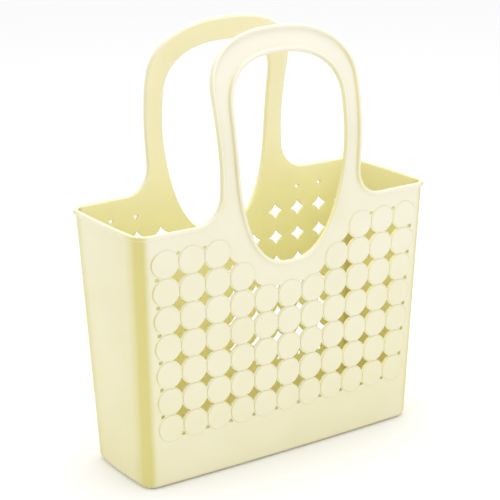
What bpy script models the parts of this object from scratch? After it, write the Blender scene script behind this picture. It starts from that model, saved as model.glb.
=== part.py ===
"""Shower caddy: a one-piece flexible plastic tote, open at the top, with two arched carrying handles.

The moulding is modelled region by region: a base tray, two perforated panels of raised discs, two end
walls that wrap round the corners, two lengths of rim bead, and the two handles, which bend on their legs.
Lengths are in millimetres until a mesh is made. X runs along the panels, -Y is the front, Z is up.
"""
import math

import bmesh
import bpy
from mathutils import Vector
from mathutils.geometry import delaunay_2d_cdt

MM = 0.001
FRONT = -1
REAR = 1

# Tub: outside sizes of the walls at the foot and at the rim, and how far each wall bows outward.
RIM_Z = 239.7
FOOT_HALF_X = 147.2
FOOT_HALF_Y = 47.9
RIM_HALF_X = 155.5
RIM_HALF_Y = 59.5
PANEL_BOW_FOOT = 2.5
PANEL_BOW_RIM = 2.2
END_BOW_FOOT = 3.0
END_BOW_RIM = 2.2
CORNER_FOOT = 11.0
CORNER_RIM = 11.2
WALL = 2.4
SEAM = 0.3
CORNER_STEPS = 5
END_STEPS = 4

# Base tray.
FLOOR = 2.6
BASE_ROUND = 4.4
BASE_TOP = 9.0
TRAY_STEPS = 6

# Rim bead: it stands on the wall and projects outward.
BEAD_OUT = 3.0
BEAD_TALL = 3.4
BEAD_CHAMFER = 0.9
BEAD_END_X = 104.0
FLANGE_WIDE = 2.8
FLANGE_SLOPE = 0.7

# Field of discs: eleven columns by seven rows, stepped down under the hand hole. The columns spread
# upward as the tub widens: FIELD_FAN is the growth for each millimetre of height.
PITCH = 25.4
ROW_PITCH = 25.8
FIELD_Z = 134.4
FIELD_FAN = 0.00027
COLUMNS = 11
ROW_GAPS = {1: (4, 8), 2: (5, 7)}
ROWS = 7
DISC_RADIUS = 12.1
DISC_RISE = 0.9
DISC_SIDES = 12
BORDER_RADIUS = 13.2
BORDER_STEPS = 12
HOLE_RADIUS = 13.6
NOTCH_TIP = 5.3
NOTCH_OUT = 9.3
NOTCH_HALF = 2.6
GUIDE_Z = 27.0

# Handles: the outer edge and the hand hole are both egg-shaped arches.
FLARE_RADIUS = 25.0
LEG_HALF_X = 74.4
ARCH_HALF_X = 76.9
ARCH_Z = 346.2
ARCH_TOP = 398.9
ARCH_POWER = 2.37
HAND_HALF_X = 58.4
HAND_Z = 331.0
HAND_TOP = 377.0
HAND_BOTTOM = 192.0
HAND_POWER = 2.46
LEAN_Z = 285.0
LEAN_RADIUS = 235.0
HINGE_Z = 258.0
HINGE_X = 66.0
SOLID_LEG = 9.0
LEG_ROWS = (280.0, 295.0, 310.0, 325.0, 340.0)
HAND_STEPS = 80

FLARE_X = LEG_HALF_X + FLARE_RADIUS
FLARE_Z = RIM_Z + FLARE_RADIUS
FLARE_STEPS = 12
HINGE_RADIUS = (WALL + BEAD_OUT) / 2
HINGE_RISE = (BEAD_OUT - WALL) / 2
STUB_Z = HINGE_Z - HINGE_RADIUS - SEAM
WALL_TOP = RIM_Z - BEAD_TALL - SEAM
WALL_FOOT = BASE_TOP + SEAM


def mix(a, b, t):
    return a + (b - a) * t


def ease(t):
    t = min(max(t, 0.0), 1.0)
    return t * t * (3 - 2 * t)


def half_x(z):
    return mix(FOOT_HALF_X, RIM_HALF_X, z / RIM_Z)


def half_y(z):
    return mix(FOOT_HALF_Y, RIM_HALF_Y, z / RIM_Z)


def panel_bow(z):
    return mix(PANEL_BOW_FOOT, PANEL_BOW_RIM, z / RIM_Z)


def end_bow(z):
    return mix(END_BOW_FOOT, END_BOW_RIM, z / RIM_Z)


def corner(z):
    return mix(CORNER_FOOT, CORNER_RIM, z / RIM_Z)


def face_y(x, z):
    """Distance of a panel's outer face from the middle plane; it carries on up into the handle."""
    low = min(z, LEAN_Z)
    y = half_y(low) + panel_bow(min(z, RIM_Z)) * (1 - (x / half_x(low)) ** 2)
    if z > LEAN_Z:
        y -= LEAN_RADIUS - math.sqrt(LEAN_RADIUS ** 2 - (z - LEAN_Z) ** 2)
    return y


def on_face(x, z, height, side):
    """Point at a height above a panel's outer face, measured square to the face."""
    slope = (face_y(x, z + 1) - face_y(x, z - 1)) / 2
    size = math.hypot(1, slope)
    return x, side * (face_y(x, z) + height / size), z - height * slope / size


def arc(cx, cz, radius, start, stop, count):
    """Points on a circle from one angle to another, both ends included; angles in degrees."""
    points = []
    for i in range(count + 1):
        angle = math.radians(mix(start, stop, i / count))
        points.append((cx + radius * math.cos(angle), cz + radius * math.sin(angle)))
    return points


def egg(half, top, bottom, middle, power, offset, start, stop, count):
    """Points on an egg-shaped curve pushed outward by an offset, from one angle to another."""
    points = []
    for i in range(count + 1):
        angle = math.radians(mix(start, stop, i / count))
        c = math.cos(angle)
        s = math.sin(angle)
        tall = top - middle if s >= 0 else middle - bottom
        x = math.copysign(half * abs(c) ** (2 / power), c)
        z = math.copysign(tall * abs(s) ** (2 / power), s)
        nx = math.copysign(abs(x / half) ** (power - 1) / half, x)
        nz = math.copysign(abs(z / tall) ** (power - 1) / tall, z)
        size = math.hypot(nx, nz)
        points.append((x + offset * nx / size, middle + z + offset * nz / size))
    return points


def hand_hole(offset, start, stop, count):
    return egg(HAND_HALF_X, HAND_TOP, HAND_BOTTOM, HAND_Z, HAND_POWER, offset, start, stop, count)


def arch_top(offset, count):
    return egg(ARCH_HALF_X, ARCH_TOP, ARCH_Z, ARCH_Z, ARCH_POWER, offset, 0, 180, count)


def leg_x(z):
    """Half width over the outer edges of the two legs of a handle."""
    if z < FLARE_Z:
        return FLARE_X - math.sqrt(FLARE_RADIUS ** 2 - (FLARE_Z - z) ** 2)
    return mix(LEG_HALF_X, ARCH_HALF_X, ease((z - FLARE_Z) / (ARCH_Z - FLARE_Z)))


def cross_at(points, z):
    """Where a chain of points first crosses a height."""
    for a, b in zip(points, points[1:]):
        if (a[1] - z) * (b[1] - z) <= 0 and a[1] != b[1]:
            return mix(a[0], b[0], (z - a[1]) / (b[1] - a[1])), z
    return points[-1]


def mirrored(points):
    return [(-x, z) for x, z in reversed(points)]


def inside(point, ring):
    hit = False
    x, z = point
    for (ax, az), (bx, bz) in zip(ring, ring[1:] + ring[:1]):
        if (az > z) != (bz > z) and x < ax + (z - az) / (bz - az) * (bx - ax):
            hit = not hit
    return hit


def triangulate(rings, chains, dots):
    """Fill the first ring with triangles, leaving the other rings open, and keep every chain as an edge."""
    points = []
    edges = []
    owner = []
    for index, ring in enumerate(rings):
        base = len(points)
        points += ring
        owner += [index] * len(ring)
        edges += [(base + i, base + (i + 1) % len(ring)) for i in range(len(ring))]
    for chain, closed in chains:
        base = len(points)
        points += chain
        owner += [-1] * len(chain)
        edges += [(base + i, base + i + 1) for i in range(len(chain) - 1)]
        if closed:
            edges.append((base + len(chain) - 1, base))
    points += dots
    owner += [-1] * len(dots)
    made = delaunay_2d_cdt([Vector(p) for p in points], edges, [], 0, 1e-5)
    source = [min(ids) for ids in made[3]]
    faces = []
    for face in made[2]:
        ids = [source[i] for i in face]
        owners = {owner[i] for i in ids}
        if len(owners) == 1 and -1 not in owners:
            (ax, az), (bx, bz), (cx, cz) = [points[i] for i in ids]
            if abs((bx - ax) * (cz - az) - (cx - ax) * (bz - az)) < 1e-3:
                continue
            middle = [sum(points[i][k] for i in ids) / 3 for k in (0, 1)]
            ring = owners.pop()
            if inside(middle, rings[ring]) != (ring == 0):
                continue
        faces.append(ids)
    return points, faces


def make_object(name, verts, faces, material, origin=(0.0, 0.0, 0.0)):
    mesh = bpy.data.meshes.new(name)
    moved = [tuple((v[k] - origin[k]) * MM for k in range(3)) for v in verts]
    mesh.from_pydata(moved, [], faces)
    work = bmesh.new()
    work.from_mesh(mesh)
    loose = [v for v in work.verts if not v.link_faces]
    bmesh.ops.delete(work, geom=loose, context="VERTS")
    bmesh.ops.recalc_face_normals(work, faces=work.faces)
    work.to_mesh(mesh)
    work.free()
    mesh.materials.append(material)
    obj = bpy.data.objects.new(name, mesh)
    obj.location = [c * MM for c in origin]
    bpy.context.scene.collection.objects.link(obj)
    return obj


def plastic(name, colour):
    material = bpy.data.materials.new(name)
    material.use_nodes = True
    shader = material.node_tree.nodes["Principled BSDF"]
    shader.inputs["Base Color"].default_value = (*colour, 1.0)
    shader.inputs["Roughness"].default_value = 0.42
    material.diffuse_color = (*colour, 1.0)
    return material


def flat(points):
    """The same points without their heights."""
    return [(x, z) for x, z, h in points]


def plate(name, side, rings, chains, dots, back_chains, back_dots, back_height, origin):
    """Closed shell: a front skin with relief, a plainer back skin, and walls along every ring."""
    flat_rings = [flat(ring) for ring in rings]
    flat_chains = [(flat(chain), closed) for chain, closed in chains]
    front, front_faces = triangulate(flat_rings, flat_chains, flat(dots))
    back, back_faces = triangulate(flat_rings, back_chains, back_dots)
    heights = [h for ring in rings for x, z, h in ring]
    heights += [h for chain, closed in chains for x, z, h in chain]
    heights += [h for x, z, h in dots]
    verts = [on_face(x, z, h, side) for (x, z), h in zip(front, heights)]
    verts += [on_face(x, z, back_height(z), side) for x, z in back]
    base = len(front)
    faces = [tuple(f) for f in front_faces]
    faces += [tuple(base + i for i in f) for f in back_faces]
    start = 0
    for ring in rings:
        for i in range(len(ring)):
            a = start + i
            b = start + (i + 1) % len(ring)
            faces.append((a, b, base + b, base + a))
        start += len(ring)
    return make_object(name, verts, faces, plastic(name + "_plastic", TINTS[name]), origin)


def disc_places():
    places = []
    for row in range(1, ROWS + 1):
        gap = ROW_GAPS.get(row, (COLUMNS + 1, 0))
        places += [(c, row) for c in range(1, COLUMNS + 1) if not gap[0] <= c <= gap[1]]
    return places


def field_point(column, row):
    """Middle of a disc on the even grid; halves give the points between discs."""
    return (column - (COLUMNS + 1) / 2) * PITCH, FIELD_Z + ((ROWS + 1) / 2 - row) * ROW_PITCH


def fanned(points):
    """Points of the even grid spread out to follow the widening of the tub."""
    return [(x * (1 + FIELD_FAN * (z - FIELD_Z)), z) for x, z in points]


def hole_places(discs):
    """A four-sided hole sits at every meeting of discs where at least three of the four are there."""
    places = []
    for row in range(1, ROWS):
        for column in range(1, COLUMNS):
            near = [(column + i, row + j) in discs for i in (0, 1) for j in (0, 1)]
            if sum(near) >= 3:
                places.append((column + 0.5, row + 0.5))
    return places


def diamond(column, row):
    """Hole with four hollow sides, each side following the edge of one disc."""
    cx, cz = field_point(column, row)
    low = math.degrees(math.acos(PITCH / 2 / HOLE_RADIUS))
    high = math.degrees(math.asin(ROW_PITCH / 2 / HOLE_RADIUS))
    side = [(PITCH / 2 - x, ROW_PITCH / 2 - z) for x, z in arc(0.0, 0.0, HOLE_RADIUS, low, high, 2)]
    ring = [(-x, -z) for x, z in side[:-1]]
    ring += [(-x, z) for x, z in reversed(side[1:])]
    ring += side[:-1]
    ring += [(x, -z) for x, z in reversed(side[1:])]
    return [(cx + x, cz + z) for x, z in ring]


def notch_holes(discs, holes):
    """Small three-sided holes between neighbouring discs of the border and the plain wall."""
    rings = []
    for column, row in discs:
        for dc, dr in ((1, 0), (0, 1)):
            if (column + dc, row + dr) not in discs:
                continue
            for way in (-0.5, 0.5):
                spot = (column + (dc or 2 * way) / 2, row + (dr or 2 * way) / 2)
                if spot in holes:
                    continue
                mx, mz = field_point(column + dc / 2, row + dr / 2)
                ux = 0 if dc else math.copysign(1, way)
                uz = -math.copysign(1, way) if dc else 0
                ring = [(mx + ux * NOTCH_TIP, mz + uz * NOTCH_TIP)]
                for s in (NOTCH_HALF, -NOTCH_HALF):
                    ring.append((mx + ux * NOTCH_OUT + s * uz, mz + uz * NOTCH_OUT + s * ux))
                rings.append(ring)
    return rings


def border_dots(discs, holes):
    """Points on the plain wall that hem in the rise of the outermost discs."""
    dots = []
    for column, row in discs:
        cx, cz = field_point(column, row)
        ring = arc(0.0, 0.0, 1.0, 0, 360, BORDER_STEPS)[:-1]
        for c, s in ring:
            near = (column + round(c), row) if abs(c) > abs(s) else (column, row - round(s))
            slanted = min(abs(c), abs(s)) > 0.1
            meeting = (column + math.copysign(0.5, c), row - math.copysign(0.5, s))
            if near not in discs and not (slanted and meeting in holes):
                dots.append((cx + BORDER_RADIUS * c, cz + BORDER_RADIUS * s))
    return dots


def at_height(points, height):
    return [(x, z, height) for x, z in points]


def flange_chain(inset, join_z):
    """Line on a panel that runs along the rim, up each leg and round the bottom of the hand hole."""
    outer = arc(FLARE_X, FLARE_Z, FLARE_RADIUS + inset, 270, 180, FLARE_STEPS)
    hand = hand_hole(inset, 0, -90, HAND_STEPS // 4)
    leg = [(BEAD_END_X - SEAM / 2, RIM_Z - inset)]
    leg += [p for p in outer if p[1] < join_z] + [cross_at(outer, join_z), cross_at(hand, join_z)]
    leg += [p for p in hand if p[1] < join_z]
    return leg + mirrored(leg)[1:]


def panel_outline():
    """Outline of a panel with the front height at each point: the flange and the stubs stand proud."""
    foot_x = half_x(WALL_FOOT) - corner(WALL_FOOT) - SEAM / 2
    top_x = half_x(WALL_TOP) - corner(WALL_TOP) - SEAM / 2
    bead_x = BEAD_END_X - SEAM / 2
    ledge_z = RIM_Z - FLANGE_WIDE
    wall = [(foot_x * t / 6, WALL_FOOT) for t in range(6)]
    wall += [(mix(foot_x, top_x, t / 5), mix(WALL_FOOT, WALL_TOP, t / 5)) for t in range(6)]
    wall += [(mix(top_x, bead_x, t / 2), WALL_TOP) for t in (1, 2)]
    wall += [(bead_x, ledge_z - FLANGE_SLOPE)]
    flare = arc(FLARE_X, FLARE_Z, FLARE_RADIUS, 270, 180, FLARE_STEPS)
    hand = hand_hole(0, 0, -90, HAND_STEPS // 4)
    proud = [(bead_x, ledge_z), (bead_x, RIM_Z)]
    proud += [p for p in flare if p[1] < STUB_Z - SEAM] + [(leg_x(STUB_Z), STUB_Z)]
    proud += [cross_at(hand, STUB_Z)] + [p for p in hand if p[1] < STUB_Z - SEAM]
    right = at_height(wall, 0.0) + at_height(proud, BEAD_OUT)
    return right + [(-x, z, h) for x, z, h in reversed(right[1:-1])]


def make_panel(name, side):
    """Perforated wall with raised discs; the flange round its top carries on into the stubs of the handle."""
    discs = disc_places()
    holes = hole_places(discs)
    pierced = [fanned(diamond(*spot)) for spot in holes]
    pierced += [fanned(ring) for ring in notch_holes(discs, holes)]
    rings = [panel_outline()] + [at_height(ring, 0.0) for ring in pierced]
    solid_z = HINGE_Z - SOLID_LEG
    crest = flange_chain(FLANGE_WIDE, solid_z - FLANGE_SLOPE)
    valley = flange_chain(FLANGE_WIDE + FLANGE_SLOPE, solid_z - 2 * FLANGE_SLOPE)
    chains = [(at_height(crest, BEAD_OUT), False), (at_height(valley, 0.0), False)]
    for spot in discs:
        cx, cz = field_point(*spot)
        top = fanned(arc(cx, cz, DISC_RADIUS, 15, 375, DISC_SIDES)[:-1])
        chains.append((at_height(top, DISC_RISE), True))
    reach = COLUMNS // 2
    guide = [(PITCH * k, GUIDE_Z) for k in range(-reach, reach + 1)]
    dots = at_height(fanned(border_dots(discs, holes)) + guide, 0.0)
    return plate(name, side, rings, chains, dots, [], guide, lambda z: -WALL, (0.0, 0.0, 0.0))


def handle_chain(inset, join_z):
    """Closed line inside the band of a handle, a fixed distance from both of its edges."""
    legs = [(leg_x(z) - inset, z) for z in (join_z, *LEG_ROWS)]
    outer = legs + arch_top(-inset, HAND_STEPS // 2) + mirrored(legs)
    hand = hand_hole(inset, -90, 270, HAND_STEPS)
    right = cross_at(hand_hole(inset, 0, -90, HAND_STEPS), join_z)
    inner = [right] + [p for p in hand if p[1] > join_z + 1] + [(-right[0], join_z)]
    return outer + inner[::-1]


def leg_bulge(z):
    """The foot of each leg is a half round about the line the handle bends on."""
    drop = min(max(HINGE_Z - z, 0.0), HINGE_RADIUS)
    return math.sqrt(HINGE_RADIUS ** 2 - drop ** 2)


def make_handle(name, side):
    """Arched grip that stands on two round-ended legs, so that it can bend in and out."""
    solid_z = HINGE_Z + SOLID_LEG
    rows = [HINGE_Z - HINGE_RADIUS * sink for sink in (0.97, 0.85, 0.5, 0.0)] + [solid_z]
    hand = hand_hole(0, 0, -90, HAND_STEPS)
    outer = [(leg_x(z), z) for z in (*rows, *LEG_ROWS)]
    inner = [cross_at(hand, z) for z in (*rows, *LEG_ROWS[:-2])]
    inner_top = [p for p in hand_hole(0, -90, 270, HAND_STEPS) if p[1] > LEG_ROWS[-2]]
    outline = outer + arch_top(0, HAND_STEPS // 2) + mirrored(outer)
    outline += (inner + inner_top + mirrored(inner))[::-1]
    ring = [(x, z, HINGE_RISE + leg_bulge(z)) for x, z in outline]
    crest = handle_chain(FLANGE_WIDE, solid_z)
    valley = handle_chain(FLANGE_WIDE + FLANGE_SLOPE, solid_z + FLANGE_SLOPE)
    chains = [(at_height(crest, BEAD_OUT), True), (at_height(valley, 0.0), True)]
    bars = []
    for a, b in zip(outer[:len(rows)], inner[:len(rows)]):
        bars += [([a, b], False), (mirrored([a, b]), False)]
    chains += [([(x, z, HINGE_RISE + leg_bulge(z)) for x, z in bar], closed) for bar, closed in bars]
    hinge_y = on_face(HINGE_X, HINGE_Z, HINGE_RISE, side)[1]
    origin = (0.0, hinge_y, HINGE_Z)
    return plate(name, side, [ring], chains, [], bars, [], lambda z: HINGE_RISE - leg_bulge(z), origin)


def bowed(x, y, z, inset):
    """A point of the straight-sided plan pushed out by the bow of the panel and of the end wall."""
    side = math.copysign(panel_bow(z) * (1 - (x / half_x(z)) ** 2), y) if y else 0.0
    end = end_bow(z) * (1 - (y / half_y(z)) ** 2)
    return x + end * x / (half_x(z) - inset), y + side


def plan_half(z, inset, corner_steps, end_steps, start_x=None):
    """Right half of the tub's outline at a height, from the front to the rear, starting on the panel."""
    a = half_x(z) - inset
    b = half_y(z) - inset
    r = corner(z) - inset
    front = arc(a - r, -(b - r), r, -90, 0, corner_steps)
    if start_x is not None:
        meets_corner = start_x > a - r - 1
        front = [(start_x, -b)] + (front[1:] if meets_corner else front)
    front += [(a, mix(-(b - r), 0, t / end_steps)) for t in range(1, end_steps + 1)]
    points = front + [(x, -y) for x, y in reversed(front[:-1])]
    return [bowed(x, y, z, inset) for x, y in points]


def strip_object(name, sections):
    """Solid swept through a row of sections, each joined to the next and the two ends closed."""
    count = len(sections[0])
    verts = [p for section in sections for p in section]
    faces = []
    for i in range(len(sections) - 1):
        for k in range(count):
            a = i * count + k
            b = i * count + (k + 1) % count
            faces.append((a, b, b + count, a + count))
    faces.append(tuple(range(count)))
    faces.append(tuple(len(verts) - count + k for k in range(count)))
    return make_object(name, verts, faces, plastic(name + "_plastic", TINTS[name]))


def make_end_wall(name, way):
    """Plain end of the tub; it wraps round both corners to meet the panels."""
    edges = []
    for z in (WALL_FOOT, WALL_TOP):
        start = half_x(z) - corner(z) + SEAM / 2
        for inset in (0.0, WALL):
            edges.append([(way * x, y, z) for x, y in plan_half(z, inset, CORNER_STEPS, END_STEPS, start)])
    outer_foot, inner_foot, outer_top, inner_top = edges
    return strip_object(name, list(zip(outer_foot, outer_top, inner_top, inner_foot)))


def make_rim_bead(name, way):
    """Rounded bead on top of the wall, from one handle round the end of the tub to the other."""
    low = RIM_Z - BEAD_TALL
    shape = [(WALL, low), (WALL, RIM_Z - BEAD_CHAMFER), (WALL - BEAD_CHAMFER, RIM_Z)]
    shape += [(BEAD_CHAMFER - BEAD_OUT, RIM_Z), (-BEAD_OUT, RIM_Z - BEAD_CHAMFER), (-BEAD_OUT, low)]
    start = BEAD_END_X + SEAM / 2
    edges = []
    for inset, z in shape:
        path = plan_half(RIM_Z, inset, CORNER_STEPS, END_STEPS, start)
        edges.append([(way * x, y, z) for x, y in path])
    return strip_object(name, list(zip(*edges)))


def tray_ring(inset, z):
    """Closed outline of the tray at a height, a fixed distance in from its outer face."""
    right = plan_half(z, inset, CORNER_STEPS, END_STEPS)
    left = [(-x, -y) for x, y in right]
    reach = right[0][0]
    front = [(mix(-reach, reach, t / TRAY_STEPS), inset - half_y(z)) for t in range(1, TRAY_STEPS)]
    front = [bowed(x, y, z, inset) for x, y in front]
    ring = front + right + [(-x, -y) for x, y in front] + left
    return [(x, y, z) for x, y in ring]


def make_base(name):
    """Floor with rounded bottom edges, turned up into a low lip that the walls stand on."""
    inner = BASE_ROUND - WALL
    levels = [(BASE_ROUND - x, BASE_ROUND - z) for x, z in arc(0.0, 0.0, BASE_ROUND, 90, 0, 4)]
    levels += [(0.0, BASE_TOP), (WALL, BASE_TOP)]
    levels += [(BASE_ROUND - x, FLOOR + inner - z) for x, z in arc(0.0, 0.0, inner, 0, 90, 2)]
    loops = [tray_ring(inset, z) for inset, z in levels]
    count = len(loops[0])
    verts = [p for loop in loops for p in loop]
    faces = []
    for i in range(len(loops) - 1):
        for k in range(count):
            n = (k + 1) % count
            faces.append((i * count + k, i * count + n, (i + 1) * count + n, (i + 1) * count + k))
    faces.append(tuple(range(count)))
    faces.append(tuple((len(loops) - 1) * count + k for k in range(count)))
    return make_object(name, verts, faces, plastic(name + "_plastic", TINTS[name]))


TINTS = {
    "base_tray": (0.86, 0.82, 0.52),
    "front_panel": (0.90, 0.87, 0.60),
    "rear_panel": (0.90, 0.87, 0.60),
    "left_end_wall": (0.88, 0.84, 0.56),
    "right_end_wall": (0.88, 0.84, 0.56),
    "left_rim_bead": (0.91, 0.88, 0.62),
    "right_rim_bead": (0.91, 0.88, 0.62),
    "front_handle": (0.93, 0.91, 0.68),
    "rear_handle": (0.93, 0.91, 0.68),
}


def main():
    for obj in list(bpy.data.objects):
        bpy.data.objects.remove(obj, do_unlink=True)
    make_base("base_tray")
    make_panel("front_panel", FRONT)
    make_panel("rear_panel", REAR)
    make_end_wall("left_end_wall", -1)
    make_end_wall("right_end_wall", 1)
    make_rim_bead("left_rim_bead", -1)
    make_rim_bead("right_rim_bead", 1)
    make_handle("front_handle", FRONT)
    make_handle("rear_handle", REAR)


main()
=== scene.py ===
"""Shower caddy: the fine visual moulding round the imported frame.

Lengths are millimetres until a mesh is made.
"""
import math

import bmesh
import bpy
import numpy as np
from mathutils import Matrix, Vector
from mathutils.geometry import delaunay_2d_cdt


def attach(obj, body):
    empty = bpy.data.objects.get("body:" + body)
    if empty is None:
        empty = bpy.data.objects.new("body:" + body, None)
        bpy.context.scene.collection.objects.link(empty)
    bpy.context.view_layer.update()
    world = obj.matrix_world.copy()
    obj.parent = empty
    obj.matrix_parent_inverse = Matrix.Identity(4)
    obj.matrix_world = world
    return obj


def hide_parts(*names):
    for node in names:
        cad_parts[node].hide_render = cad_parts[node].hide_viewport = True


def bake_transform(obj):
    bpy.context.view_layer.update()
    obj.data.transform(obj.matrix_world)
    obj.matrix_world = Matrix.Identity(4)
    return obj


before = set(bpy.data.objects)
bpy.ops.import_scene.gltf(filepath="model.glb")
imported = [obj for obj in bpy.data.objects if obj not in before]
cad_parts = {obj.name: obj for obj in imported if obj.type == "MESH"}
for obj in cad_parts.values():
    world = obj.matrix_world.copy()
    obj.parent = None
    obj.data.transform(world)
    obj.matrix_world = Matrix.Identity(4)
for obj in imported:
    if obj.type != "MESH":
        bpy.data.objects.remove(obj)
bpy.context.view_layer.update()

MM = 0.001

# Sizes of the moulding, as in the CAD source, but for BASE_ROUND: the edge of the base is a little rounder.
RIM_Z = 239.7
FOOT_HALF_X, FOOT_HALF_Y = 147.2, 47.9
RIM_HALF_X, RIM_HALF_Y = 155.5, 59.5
PANEL_BOW_FOOT, PANEL_BOW_RIM = 2.5, 2.2
END_BOW_FOOT, END_BOW_RIM = 3.0, 2.2
CORNER_FOOT, CORNER_RIM = 11.0, 11.2
WALL = 2.4
FLOOR = 2.6
BASE_ROUND = 6.0
BASE_LIP = 0.6
BASE_TOP = 9.0
PITCH, ROW_PITCH = 25.4, 25.8
FIELD_Z = 134.4
FIELD_FAN = 0.00027
COLUMNS, ROWS = 11, 7
ROW_GAPS = {1: (4, 8), 2: (5, 7)}
HOLE_RADIUS = 13.6
FLARE_RADIUS = 25.0
LEG_HALF_X = 74.4
ARCH_HALF_X, ARCH_Z, ARCH_TOP, ARCH_POWER = 76.9, 346.2, 398.9, 2.37
HAND_HALF_X, HAND_Z, HAND_TOP, HAND_BOTTOM, HAND_POWER = 58.4, 331.0, 377.0, 192.0, 2.46
LEAN_Z, LEAN_RADIUS = 285.0, 235.0
FLARE_X = LEG_HALF_X + FLARE_RADIUS
FLARE_Z = RIM_Z + FLARE_RADIUS

# The wall is drawn on a flat sheet (u, z) and wrapped: u is x on the panel, then runs on round the corner.
# ROUND_U covers the corner itself, where the mesh is finest.
FLAT_U = FOOT_HALF_X - CORNER_FOOT
WRAP_U = 60.0
ROUND_U = FLAT_U + 34
SEAM_U = FLAT_U + WRAP_U

# Section of the bead along every free edge: (distance in from the edge, height above the face).
BEAD = [(4.6, 0.0), (4.05, 0.0), (3.78, 0.1), (3.56, 0.4), (3.42, 0.95), (3.3, 1.6), (3.1, 2.25),
        (2.75, 2.72), (2.3, 2.96), (1.75, 3.0), (1.15, 2.9), (0.64, 2.62), (0.26, 2.2), (0.05, 1.6),
        (0.0, 0.9), (0.0, -1.0), (0.12, -1.6), (0.45, -2.1), (1.0, -2.36), (1.7, -2.4)]
END_TALL, END_OUT = 1.25, 0.75
# Section of a disc: (radius, height above the face).
DISC = [(12.68, -0.22), (12.64, -0.18), (12.6, -0.05), (12.56, 0.2), (12.46, 0.46), (12.26, 0.66),
        (11.95, 0.78), (11.5, 0.84), (10.8, 0.86)]
DISC_SEGMENTS = 48
# Section of a pierced hole: (distance out from the hole, height).
HOLE = [(0.5, 0.0), (0.28, -0.04), (0.1, -0.16), (0.0, -0.42), (0.0, -2.0), (0.06, -2.2), (0.22, -2.36),
        (0.5, -2.4)]
# The web between the discs lies GROOVE below the plain wall, out to GROOVE_RADIUS from a disc's centre.
GROOVE, GROOVE_RADIUS, GROOVE_FADE = 0.22, 13.1, 0.8
# Half of a notch at the border of the field: places out from the middle of the gap, and its narrow end.
NOTCH_OUT = (5.5, 6.4, 7.4, 8.4, 9.1)
NOTCH_END = ((0.45, 9.45), (1.3, 9.6))
NOTCH_LEAST = 0.25

# Spacing of the mesh: coarse and fine steps on the sheet, and how far its dots stay from other shapes.
COARSE, FINE = 5.0, 1.8
SCALLOP_RADII = (13.15, 13.55, 13.95)
SCALLOP_STEPS = 40
CLEAR_DISC, CLEAR_HOLE, CLEAR_NOTCH, CLEAR_EDGE = 14.3, 9.0, 5.0, 2.4
SCALLOP_CLEAR_HOLE, SCALLOP_CLEAR_NOTCH, SCALLOP_CLEAR_EDGE = 8.4, 2.6, 0.35

# Colours of the plastic: outside low, and outside high with painted light (paler and whiter higher up);
# inside low and high, painted bounce light; and painted shade round the corners.
CREAM = (0.82, 0.777, 0.535)
PALE_PAINTED_LIGHT = (0.9, 0.875, 0.765)
PAINTED_BOUNCE_LOW = (0.99, 0.95, 0.53)
PAINTED_BOUNCE_HIGH = (0.96, 0.9, 0.61)
PAINTED_SHADE = (0.67, 0.6, 0.215)

# Studio: floor half size (m), brightness of the white surroundings, and the lights in metres and watts:
# (name, place, target, size, power).
FLOOR_HALF = 9
WORLD = 0.975
LIGHTS = [("top", (0.1, 0.1, 1.7), (0, 0, 0.2), (1.2, 1.2), 8.0),
          ("left", (-1.7, 0.2, 0.7), (0, 0, 0.2), (0.9, 0.9), 0.8),
          ("front", (0.7, -1.7, 0.8), (0, 0, 0.2), (0.9, 0.9), 0.8)]

# Camera: turns in degrees, and its place from the middle of the tub along, across and up its own view.
YAW, PITCH_DOWN, ROLL = 33.623, 17.347, -0.859
ALONG, ACROSS, UP = 1460.2, 4.4, -63.0


def mix(a, b, t):
    return a + (b - a) * t


def ease(t):
    t = min(max(t, 0.0), 1.0)
    return t * t * (3 - 2 * t)


def half_x(z):
    return mix(FOOT_HALF_X, RIM_HALF_X, z / RIM_Z)


def half_y(z):
    return mix(FOOT_HALF_Y, RIM_HALF_Y, z / RIM_Z)


def face_y(x, z):
    """Distance of a panel's outer face from the middle plane; it carries on up into the handle."""
    low = min(z, LEAN_Z)
    bow = mix(PANEL_BOW_FOOT, PANEL_BOW_RIM, min(z, RIM_Z) / RIM_Z)
    y = half_y(low) + bow * (1 - (x / half_x(low)) ** 2)
    if z > LEAN_Z:
        y -= LEAN_RADIUS - math.sqrt(LEAN_RADIUS ** 2 - (z - LEAN_Z) ** 2)
    return y


def surface(u, z):
    """Point of the outer face of the front half, for a place on the flat sheet."""
    x = abs(u)
    if x <= FLAT_U:
        return Vector((u, -face_y(x, z), z))
    low = min(z, RIM_Z)
    a, b = half_x(low), half_y(low)
    r = mix(CORNER_FOOT, CORNER_RIM, low / RIM_Z)
    flat = a - r - FLAT_U
    turn = r * math.pi / 2
    s = (x - FLAT_U) / WRAP_U * (flat + turn + b - r)
    if s <= flat:
        px, py = FLAT_U + s, b
    elif s <= flat + turn:
        px, py = a - r + r * math.sin((s - flat) / r), b - r + r * math.cos((s - flat) / r)
    else:
        px, py = a, b - r - (s - flat - turn)
    bow = mix(PANEL_BOW_FOOT, PANEL_BOW_RIM, low / RIM_Z) * (1 - (px / a) ** 2)
    end = mix(END_BOW_FOOT, END_BOW_RIM, low / RIM_Z) * (1 - (py / b) ** 2)
    if py < 0:
        bow = -bow
    return Vector((math.copysign(px + end * px / a, u), -(py + bow), z))


def normal(u, z):
    """Outward direction of the outer face."""
    step = 0.4
    du = surface(u + step, z) - surface(u - step, z)
    dz = surface(u, z + step) - surface(u, z - step)
    return du.cross(dz).normalized()


def lifted(u, z, height):
    return surface(u, z) + normal(u, z) * height


def arc(cx, cz, radius, start, stop, count):
    """Points on part of a circle, from one angle in degrees to another."""
    points = []
    for i in range(count + 1):
        angle = math.radians(mix(start, stop, i / count))
        points.append((cx + radius * math.cos(angle), cz + radius * math.sin(angle)))
    return points


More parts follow.
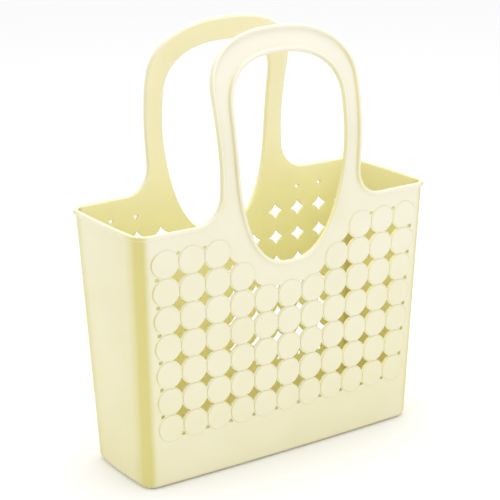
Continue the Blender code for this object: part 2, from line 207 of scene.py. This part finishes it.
def egg(half, top, bottom, middle, power, start, stop, count):
    """Points on an egg-shaped curve with their outward normals: (x, z, nx, nz)."""
    points = []
    for i in range(count + 1):
        angle = math.radians(mix(start, stop, i / count))
        c, s = math.cos(angle), math.sin(angle)
        if abs(c) < 1e-9:
            c = 0.0
        if abs(s) < 1e-9:
            s = 0.0
        tall = top - middle if s >= 0 else middle - bottom
        x = math.copysign(half * abs(c) ** (2 / power), c)
        z = math.copysign(tall * abs(s) ** (2 / power), s)
        nx = math.copysign(abs(x / half) ** (power - 1) / half, x)
        nz = math.copysign(abs(z / tall) ** (power - 1) / tall, z)
        size = math.hypot(nx, nz)
        points.append((x, middle + z, nx / size, nz / size))
    return points


def leg_x(z):
    return mix(LEG_HALF_X, ARCH_HALF_X, ease((z - FLARE_Z) / (ARCH_Z - FLARE_Z)))


def span(a, b, step):
    """Even steps from a to b, of about the length of step, with both ends."""
    count = max(1, round(abs(b - a) / step))
    return [mix(a, b, i / count) for i in range(count + 1)]


def outer_edge():
    """The free edge from the right seam along the rim, over the handle and back.

    Each point is (u, z, inward u, inward z).
    """
    right = [(u, RIM_Z, 0.0, -1.0) for u in span(SEAM_U, ROUND_U, COARSE)[:-1]]
    right += [(u, RIM_Z, 0.0, -1.0) for u in span(ROUND_U, FLAT_U, 1.5)[:-1]]
    right += [(u, RIM_Z, 0.0, -1.0) for u in span(FLAT_U, FLARE_X, 4.0)[:-1]]
    for x, z in arc(FLARE_X, FLARE_Z, FLARE_RADIUS, 270, 180, 22):
        right.append((x, z, (x - FLARE_X) / FLARE_RADIUS, (z - FLARE_Z) / FLARE_RADIUS))
    right += [(leg_x(z), z, -1.0, 0.0) for z in span(FLARE_Z, ARCH_Z, 3.0)[1:-1]]
    arch = egg(ARCH_HALF_X, ARCH_TOP, ARCH_Z, ARCH_Z, ARCH_POWER, 0, 180, 72)
    top = [(x, z, -nx, -nz) for x, z, nx, nz in arch]
    left = [(-x, z, -nx, nz) for x, z, nx, nz in reversed(right)]
    return right + top + left


def hand_edge():
    """The closed edge of the hand hole: (u, z, outward u, outward z)."""
    points = egg(HAND_HALF_X, HAND_TOP, HAND_BOTTOM, HAND_Z, HAND_POWER, -90, 270, 200)[:-1]
    return evened(points, 200)


def evened(points, count):
    """The same closed curve with its points evenly spaced."""
    ring = np.array(points + points[:1])
    length = np.r_[0, np.cumsum(np.hypot(*np.diff(ring[:, :2], axis=0).T))]
    at = np.linspace(0, length[-1], count + 1)[:-1]
    cols = [np.interp(at, length, ring[:, k]) for k in range(4)]
    size = np.hypot(cols[2], cols[3])
    return [tuple(float(v) for v in row) for row in zip(cols[0], cols[1], cols[2] / size, cols[3] / size)]


def at_depth(edge, depth):
    """Line a distance in from an edge; along the ends of the tub the bead is taller."""
    line = []
    for u, z, nu, nz in edge:
        reach = depth * mix(1.0, END_TALL, on_end(u))
        line.append((u + nu * reach, z + nz * reach))
    return line


def on_end(u):
    """0 on the panels and handles, 1 on the ends of the tub."""
    return ease((abs(u) - FLARE_X) / (FLAT_U - FLARE_X))


def bead_line(edge, depth, height):
    """One line of the bead, (u, z, height); along the ends of the tub the bead stands out less."""
    lows = [mix(1.0, END_OUT, on_end(u)) if height > 0 else 1.0 for u, z, nu, nz in edge]
    return [(u, z, height * low) for (u, z), low in zip(at_depth(edge, depth), lows)]


def disc_places():
    """Column and row of every disc."""
    places = []
    for row in range(1, ROWS + 1):
        gap = ROW_GAPS.get(row, (COLUMNS + 1, 0))
        places += [(c, row) for c in range(1, COLUMNS + 1) if not gap[0] <= c <= gap[1]]
    return places


def field_point(column, row):
    """Place on the even grid, before it is fanned."""
    return (column - (COLUMNS + 1) / 2) * PITCH, FIELD_Z + ((ROWS + 1) / 2 - row) * ROW_PITCH


def fanned(points):
    """Points of the even grid of discs spread out to follow the widening of the tub."""
    return [(u * (1 + FIELD_FAN * (z - FIELD_Z)), z) for u, z in points]


DISCS = disc_places()
CENTRES = np.array([field_point(*d) for d in DISCS])


def groove(u, z):
    """The web between the discs lies a little lower than the plain wall."""
    even = u / (1 + FIELD_FAN * (z - FIELD_Z))
    near = float(np.min(np.hypot(CENTRES[:, 0] - even, CENTRES[:, 1] - z)))
    return -GROOVE * (1 - ease((near - GROOVE_RADIUS) / GROOVE_FADE))


def hole_places():
    """Column and row of every hole that at least three discs surround."""
    places = []
    for row in range(1, ROWS):
        for column in range(1, COLUMNS):
            if sum((column + i, row + j) in DISCS for i in (0, 1) for j in (0, 1)) >= 3:
                places.append((column + 0.5, row + 0.5))
    return places


def diamond(column, row):
    """Hole with four hollow sides, each following one disc, and narrow tips."""
    cx, cz = field_point(column, row)
    across, up = PITCH / 2, ROW_PITCH / 2
    low = math.degrees(math.acos(across / HOLE_RADIUS)) + 2.0
    high = math.degrees(math.asin(up / HOLE_RADIUS)) - 2.0
    side = [(across - u, up - z) for u, z in arc(0.0, 0.0, HOLE_RADIUS, low, high, 8)]
    ring = [(-u, -z) for u, z in side] + [(-u, z) for u, z in reversed(side)]
    ring += side + [(u, -z) for u, z in reversed(side)]
    return [(cx + u, cz + z) for u, z in ring]


def notches(holes):
    """Small three-sided holes between neighbouring discs of the border and the plain wall."""
    rings = []
    for column, row in DISCS:
        for dc, dr in ((1, 0), (0, 1)):
            if (column + dc, row + dr) not in DISCS:
                continue
            for way in (-0.5, 0.5):
                spot = (column + (dc or 2 * way) / 2, row + (dr or 2 * way) / 2)
                if spot in holes:
                    continue
                mx, mz = field_point(column + dc / 2, row + dr / 2)
                ox = 0.0 if dc else math.copysign(1, way)
                oz = -math.copysign(1, way) if dc else 0.0
                side = []
                gap = (PITCH if dc else ROW_PITCH) / 2
                for v in NOTCH_OUT:
                    side.append((max(NOTCH_LEAST, gap - math.sqrt(HOLE_RADIUS ** 2 - v * v)), v))
                side += [(side[-1][0] - narrower, v) for narrower, v in NOTCH_END]
                local = side + [(-a, v) for a, v in reversed(side)]
                ring = [(mx + a * oz + v * ox, mz + v * oz + a * ox) for a, v in local]
                area = sum(p[0] * q[1] - q[0] * p[1] for p, q in zip(ring, ring[1:] + ring[:1]))
                rings.append(ring if area < 0 else ring[::-1])
    return rings


def grown(ring, distance):
    """A clockwise ring pushed outward, mitred at its corners."""
    out = []
    n = len(ring)
    for i in range(n):
        (ax, az), (bx, bz), (cx, cz) = ring[i - 1], ring[i], ring[(i + 1) % n]
        e1, e2 = Vector((bx - ax, bz - az)).normalized(), Vector((cx - bx, cz - bz)).normalized()
        n1, n2 = Vector((-e1.y, e1.x)), Vector((-e2.y, e2.x))
        m = (n1 + n2).normalized()
        reach = distance / max(0.45, m.dot(n1))
        out.append((bx + m.x * reach, bz + m.y * reach))
    return out


def inside(point, ring):
    """Whether a point lies inside a closed ring."""
    hit = False
    x, z = point
    for (ax, az), (bx, bz) in zip(ring, ring[1:] + ring[:1]):
        if (az > z) != (bz > z) and x < ax + (z - az) / (bz - az) * (bx - ax):
            hit = not hit
    return hit


def triangulate(rings, dots):
    """Mesh of the first ring's inside with the other rings cut out, through all the dots."""
    points, edges, owner = [], [], []
    for index, ring in enumerate(rings):
        base = len(points)
        points += ring
        owner += [index] * len(ring)
        edges += [(base + i, base + (i + 1) % len(ring)) for i in range(len(ring))]
    points = points + dots
    owner += [-1] * len(dots)
    made = delaunay_2d_cdt([Vector(p) for p in points], edges, [], 0, 1e-6)
    source = [min(ids) for ids in made[3]]
    faces = []
    for face in made[2]:
        ids = [source[i] for i in face]
        ring = owner[ids[0]]
        if ring >= 0 and owner[ids[1]] == ring and owner[ids[2]] == ring:
            (ax, az), (bx, bz), (cx, cz) = [points[i] for i in ids]
            if abs((bx - ax) * (cz - az) - (cx - ax) * (bz - az)) < 1e-4:
                continue
            if inside(((ax + bx + cx) / 3, (az + bz + cz) / 3), rings[ring]) != (ring == 0):
                continue
        faces.append(ids)
    return points, faces


def quad(base, n, i):
    """Face i between the row of n vertices that starts at base and the next row."""
    k = (i + 1) % n
    return base + i, base + k, base + n + k, base + n + i


class Skin:
    """Collects vertices and faces on the sheet, then wraps them."""

    def __init__(self):
        self.verts = []
        self.faces = []

    def area(self, rings, dots, height):
        """A face of the wall; height gives its level over each place."""
        points, faces = triangulate(rings, dots)
        base = len(self.verts)
        self.verts += [lifted(u, z, height(u, z)) for u, z in points]
        self.faces += [tuple(base + i for i in f) for f in faces]

    def strip(self, columns, closed):
        """columns[j][i] is the vertex at section point j and path point i."""
        base = len(self.verts)
        n = len(columns[0])
        for column in columns:
            self.verts += [lifted(u, z, h) for u, z, h in column]
        for j in range(len(columns) - 1):
            for i in range(n if closed else n - 1):
                self.faces.append(quad(base + j * n, n, i))


def grid_dots(front, rings, holes, notch_rings):
    """Points spread over the plain parts of the wall, clear of every edge."""
    us = span(-FLAT_U, FLAT_U, 6.0)
    wrap = span(FLAT_U + 1.5, ROUND_U, FINE) + span(ROUND_U + COARSE, SEAM_U - COARSE, COARSE)
    us = [-u for u in reversed(wrap)] + us + wrap
    zs = span(BASE_TOP + 5, RIM_Z - 8.5, 7.0)
    found = [(u, z) for u in us for z in zs]
    spots = np.array(found)
    keep = np.ones(len(spots), bool)
    middles = np.array(fanned([field_point(*h) for h in holes]))
    small = np.array([np.mean(np.array(fanned(r)), axis=0) for r in notch_rings])
    tests = [(middles, CLEAR_HOLE), (small, CLEAR_NOTCH)]
    if front:
        tests.append((np.array(fanned(CENTRES)), CLEAR_DISC))
    for centres, reach in tests:
        gap = np.hypot(spots[:, None, 0] - centres[None, :, 0], spots[:, None, 1] - centres[None, :, 1])
        keep &= gap.min(axis=1) > reach
    edges = np.array([p for ring in rings for p in ring])
    for i in range(len(spots)):
        if keep[i]:
            gap = np.hypot(edges[:, 0] - spots[i, 0], edges[:, 1] - spots[i, 1]).min()
            keep[i] = gap > CLEAR_EDGE and not inside(spots[i], rings[1])
    return [tuple(map(float, p)) for p in spots[keep]]


def scallop_dots(front_rings, holes, notch_rings):
    """Dots close round the discs, so that the edge of the groove follows them."""
    scallops = []
    for cx, cz in CENTRES:
        for radius in SCALLOP_RADII:
            for u, z in arc(cx, cz, radius, 4.5, 364.5, SCALLOP_STEPS)[:-1]:
                gap = np.hypot(CENTRES[:, 0] - u, CENTRES[:, 1] - z)
                if np.sort(gap)[1] > radius + 0.3:
                    scallops.append((u, z))
    edge_points = np.array([p for ring in front_rings for p in ring])
    middles = [field_point(*h) for h in holes] + [tuple(np.mean(np.array(r), axis=0)) for r in notch_rings]
    middles = np.array(fanned(middles))
    limits = np.array([SCALLOP_CLEAR_HOLE] * len(holes) + [SCALLOP_CLEAR_NOTCH] * len(notch_rings))
    kept = []
    for u, z in fanned(scallops):
        clear = np.hypot(edge_points[:, 0] - u, edge_points[:, 1] - z).min() > SCALLOP_CLEAR_EDGE
        if clear and (np.hypot(middles[:, 0] - u, middles[:, 1] - z) > limits).all():
            kept.append((u, z))
    return kept


def half_shell():
    """One half of the moulding: a panel with its handle, both corners and half of each end wall."""
    skin = Skin()
    outer, hand = outer_edge(), hand_edge()
    holes = hole_places()
    pierced = [diamond(*h) for h in holes]
    small = notches(holes)
    bottom = span(-SEAM_U, -ROUND_U, COARSE)[:-1] + span(-ROUND_U, -FLAT_U, FINE)[:-1]
    bottom += span(-FLAT_U, FLAT_U, 4.0)[:-1]
    bottom += span(FLAT_U, ROUND_U, FINE)[:-1] + span(ROUND_U, SEAM_U, COARSE)
    foot = [(u, BASE_TOP) for u in bottom]

    def framed(depth):
        top = at_depth(outer, depth)
        right = [(SEAM_U, z) for z in span(BASE_TOP, top[0][1], 7.0)[1:-1]]
        left = [(-u, z) for u, z in reversed(right)]
        return foot + right + top + left

    front_rings = [framed(BEAD[0][0]), at_depth(hand, BEAD[0][0])]
    front_rings += [fanned(grown(r, HOLE[0][0])) for r in pierced + small]
    disc_rings = [fanned(arc(cx, cz, DISC[0][0], 0, 360, DISC_SEGMENTS)[:-1]) for cx, cz in CENTRES]
    dots = grid_dots(True, front_rings, holes, small) + scallop_dots(front_rings, holes, small)
    skin.area(front_rings + disc_rings, dots, groove)

    back_rings = [framed(BEAD[-1][0]), at_depth(hand, BEAD[-1][0])]
    back_rings += [fanned(grown(r, HOLE[-1][0])) for r in pierced + small]
    skin.area(back_rings, grid_dots(False, back_rings, holes, small), lambda u, z: -WALL)

    skin.strip([bead_line(outer, d, h) for d, h in BEAD], False)
    skin.strip([bead_line(hand, d, h) for d, h in BEAD], True)
    for ring in pierced + small:
        columns = []
        for distance, height in HOLE:
            on_front = height > -WALL / 2
            edge = fanned(grown(ring, distance))
            columns.append([(u, z, height + (groove(u, z) if on_front else 0.0)) for u, z in edge])
        skin.strip(columns, True)
    for cx, cz in CENTRES:
        rings = [fanned(arc(cx, cz, r, 0, 360, DISC_SEGMENTS)[:-1]) for r, h in DISC]
        skin.strip([[(*p, h) for p in ring] for ring, (r, h) in zip(rings, DISC)], True)
        base = len(skin.verts)
        skin.verts.append(lifted(*fanned([(cx, cz)])[0], DISC[-1][1]))
        skin.verts += [lifted(*p, DISC[-1][1]) for p in rings[-1]]
        skin.faces += [(base, base + 1 + i, base + 1 + (i + 1) % DISC_SEGMENTS) for i in range(DISC_SEGMENTS)]
    return skin, bottom


def make_mesh(name, verts, faces, flip=False):
    """Object from millimetre vertices; flip mirrors it to the rear."""
    mesh = bpy.data.meshes.new(name)
    mesh.from_pydata([(v[0] * MM, v[1] * MM * (-1 if flip else 1), v[2] * MM) for v in verts], [], faces)
    work = bmesh.new()
    work.from_mesh(mesh)
    bmesh.ops.remove_doubles(work, verts=work.verts, dist=2e-6)
    loose = [v for v in work.verts if not v.link_faces]
    bmesh.ops.delete(work, geom=loose, context="VERTS")
    bmesh.ops.recalc_face_normals(work, faces=work.faces)
    work.to_mesh(mesh)
    work.free()
    mesh.shade_smooth()
    obj = bpy.data.objects.new(name, mesh)
    bpy.context.scene.collection.objects.link(obj)
    return obj


def tub_floor(bottom):
    """Rounded bottom edge and floor, outside and inside, meeting the two half shells."""
    verts, faces = [], []
    outline = [(u, -1) for u in bottom] + [(u, 1) for u in reversed(bottom[1:-1])]

    def ring(inset, z):
        made = []
        for u, side in outline:
            n = normal(u, max(z, 0.5))
            n.z = 0
            n.normalize()
            p = surface(u, z) - n * inset
            made.append((p.x, p.y if side < 0 else -p.y, z))
        return made

    def sides(levels):
        rings = [ring(*level) for level in levels]
        base = len(verts)
        n = len(outline)
        for r in rings:
            verts.extend(r)
        for j in range(len(rings) - 1):
            for i in range(n):
                faces.append(quad(base + j * n, n, i))
        faces.append(tuple(base + (len(rings) - 1) * n + i for i in range(n)))

    turn = [math.radians(a) for a in range(0, 91, 10)]
    outside = [(0.0, BASE_TOP)]
    outside += [(BASE_ROUND * (1 - math.cos(t)), BASE_ROUND * (1 - math.sin(t))) for t in turn]
    sides(outside + [(BASE_ROUND + BASE_LIP, 0.0)])
    inner = BASE_ROUND - WALL
    inside_levels = [(WALL, BASE_TOP)]
    inside_levels += [(WALL + inner * (1 - math.cos(t)), FLOOR + inner * (1 - math.sin(t))) for t in turn]
    sides(inside_levels + [(BASE_ROUND + BASE_LIP, FLOOR)])
    return make_mesh("tub_floor", verts, faces)


def plastic(name):
    """Soft moulded polyethylene with a satin finish.

    It is paler and whiter higher up, painted light; inside it is brighter and deeper yellow, painted bounce
    light;
    at the end walls and where the face turns round a corner it is deeper yellow, painted shade. It has faint
    clouding and a fine grain from the mould.
    """
    material = bpy.data.materials.new(name)
    material.use_nodes = True
    nodes, links = material.node_tree.nodes, material.node_tree.links
    shader = nodes["Principled BSDF"]
    place = nodes.new("ShaderNodeTexCoord")

    def parts(vector):
        node = nodes.new("ShaderNodeSeparateXYZ")
        links.new(vector, node.inputs["Vector"])
        return node.outputs["X"], node.outputs["Y"], node.outputs["Z"]

    def combined(operation, a, b):
        node = nodes.new("ShaderNodeMath")
        node.operation = operation
        links.new(a, node.inputs[0])
        links.new(b, node.inputs[1])
        return node.outputs["Value"]

    def ranged(value, low, high, to_low, to_high):
        """The range low to high of a value, turned into another range and held at its ends."""
        node = nodes.new("ShaderNodeMapRange")
        node.inputs["From Min"].default_value = low
        node.inputs["From Max"].default_value = high
        node.inputs["To Min"].default_value = to_low
        node.inputs["To Max"].default_value = to_high
        links.new(value, node.inputs["Value"])
        return node.outputs["Result"]

    def blended(factor, *ends):
        node = nodes.new("ShaderNodeMix")
        node.data_type = "RGBA"
        links.new(factor, node.inputs["Factor"])
        for end, socket in zip(ends, (node.inputs["A"], node.inputs["B"])):
            if isinstance(end, tuple):
                socket.default_value = (*end, 1.0)
            else:
                links.new(end, socket)
        return node.outputs["Result"]

    def noise(scale, detail):
        node = nodes.new("ShaderNodeTexNoise")
        node.inputs["Scale"].default_value = scale
        node.inputs["Detail"].default_value = detail
        links.new(place.outputs["Object"], node.inputs["Vector"])
        return node.outputs["Fac"]

    x, y, z = parts(place.outputs["Object"])
    nx, ny, _ = parts(place.outputs["Normal"])
    # Inner faces look back towards the middle of the tub.
    outward = combined("ADD", combined("MULTIPLY", x, nx), combined("MULTIPLY", y, ny))
    inner = ranged(outward, -0.004, -0.03, 0.0, 1.0)
    # Painted light: outside, the plastic turns paler and whiter higher up, as if the upper parts caught more
    # light.
    outside = blended(ranged(z, 0.0, 0.4, 0.0, 1.0), CREAM, PALE_PAINTED_LIGHT)
    # Painted bounce light: inner faces are brighter and deeper yellow, standing for light bounced round
    # inside the tub.
    painted_bounce = blended(ranged(z, 0.2, 0.3, 0.0, 1.0), PAINTED_BOUNCE_LOW, PAINTED_BOUNCE_HIGH)
    # Painted shade: deeper yellow where the face turns from one axis to the other, strongly round the corners
    # and faintly elsewhere; at the ends it deepens towards the corners.
    end_on = combined("MULTIPLY", nx, nx)
    turned = ranged(combined("MULTIPLY", end_on, combined("MULTIPLY", ny, ny)), 0.0, 0.25, 0.0, 0.85)
    corner = ranged(combined("MULTIPLY", x, x), 0.0177, 0.0196, 0.1, 1.0)
    either_side = combined("MAXIMUM", y, ranged(y, -0.1, 0.1, 0.1, -0.1))
    across = combined("SUBTRACT", either_side, ranged(z, 0.0, 0.24, 0.0, 0.0114))
    beside = combined("MULTIPLY", end_on, ranged(across, 0.026, 0.037, 0.28, 0.65))
    shown = combined("MAXIMUM", corner, ranged(z, 0.235, 0.27, 0.4, 0.75))
    painted_shade_mask = combined("ADD", combined("MULTIPLY", turned, corner), combined("MULTIPLY", beside, shown))
    cloud = ranged(noise(14.0, 3.0), 0.35, 0.65, 0.0, 0.12)
    # Painted shade and the random clouding together pull the colour towards the deep yellow.
    tint = blended(combined("ADD", painted_shade_mask, cloud), blended(inner, outside, painted_bounce), PAINTED_SHADE)
    links.new(tint, shader.inputs["Base Color"])
    links.new(ranged(noise(55.0, 4.0), 0.3, 0.7, 0.34, 0.44), shader.inputs["Roughness"])
    bump = nodes.new("ShaderNodeBump")
    bump.inputs["Strength"].default_value = 0.12
    bump.inputs["Distance"].default_value = 0.0002
    links.new(noise(1400.0, 2.0), bump.inputs["Height"])
    links.new(bump.outputs["Normal"], shader.inputs["Normal"])
    shader.inputs["IOR"].default_value = 1.5
    return material


def camera():
    """The photograph's view: from the front left, a little above."""
    yaw, pitch, roll = math.radians(YAW), math.radians(PITCH_DOWN), math.radians(ROLL)
    forward = Vector((math.sin(yaw) * math.cos(pitch), math.cos(yaw) * math.cos(pitch), -math.sin(pitch)))
    right = Vector((math.cos(yaw), -math.sin(yaw), 0.0))
    top = right.cross(forward)
    right, top = (math.cos(roll) * right + math.sin(roll) * top,
                  -math.sin(roll) * right + math.cos(roll) * top)
    eye = Vector((0, 0, RIM_Z / 2)) - right * ACROSS - top * UP - forward * ALONG
    data = bpy.data.cameras.new("camera")
    data.sensor_width = 36.0
    data.lens = 112.0
    data.clip_end = 20.0
    obj = bpy.data.objects.new("camera", data)
    turn = Matrix((right, top, -forward)).transposed()
    obj.matrix_world = Matrix.Translation(eye * MM) @ turn.to_4x4()
    bpy.context.scene.collection.objects.link(obj)
    bpy.context.scene.camera = obj


def area_light(name, place, target, size, power):
    data = bpy.data.lights.new(name, "AREA")
    data.shape = "RECTANGLE"
    data.size, data.size_y = size
    data.energy = power
    obj = bpy.data.objects.new(name, data)
    obj.location = place
    obj.rotation_euler = (Vector(target) - Vector(place)).to_track_quat("-Z", "Y").to_euler()
    bpy.context.scene.collection.objects.link(obj)


def studio():
    """A plain pale floor under even white light, with soft boxes above and at two sides."""
    mesh = bpy.data.meshes.new("floor")
    corners = [(FLOOR_HALF * a, FLOOR_HALF * b, 0) for a, b in ((-1, -1), (1, -1), (1, 1), (-1, 1))]
    mesh.from_pydata(corners, [], [(0, 1, 2, 3)])
    floor = bpy.data.objects.new("floor", mesh)
    floor.location.z = -0.0004
    bpy.context.scene.collection.objects.link(floor)
    material = bpy.data.materials.new("pale_floor")
    material.use_nodes = True
    shader = material.node_tree.nodes["Principled BSDF"]
    shader.inputs["Base Color"].default_value = (0.97, 0.97, 0.97, 1)
    shader.inputs["Roughness"].default_value = 0.9
    mesh.materials.append(material)
    world = bpy.data.worlds.new("studio")
    bpy.context.scene.world = world
    world.use_nodes = True
    sky = world.node_tree.nodes["Background"]
    sky.inputs["Color"].default_value = (1, 1, 1, 1)
    sky.inputs["Strength"].default_value = WORLD
    for light in LIGHTS:
        area_light(*light)
    bpy.context.scene.view_settings.view_transform = "Standard"


shell, bottom_us = half_shell()
front = make_mesh("front_moulding", shell.verts, shell.faces)
rear = make_mesh("rear_moulding", shell.verts, shell.faces, flip=True)
base = tub_floor(bottom_us)
finish = plastic("pale_yellow_plastic")
for piece in (front, rear, base):
    piece.data.materials.append(finish)

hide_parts("front_panel", "front_handle", "left_end_wall", "left_rim_bead")
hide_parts("rear_panel", "rear_handle", "right_end_wall", "right_rim_bead")
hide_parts("base_tray")
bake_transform(front)
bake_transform(rear)
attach(base, "tub")

camera()
studio()
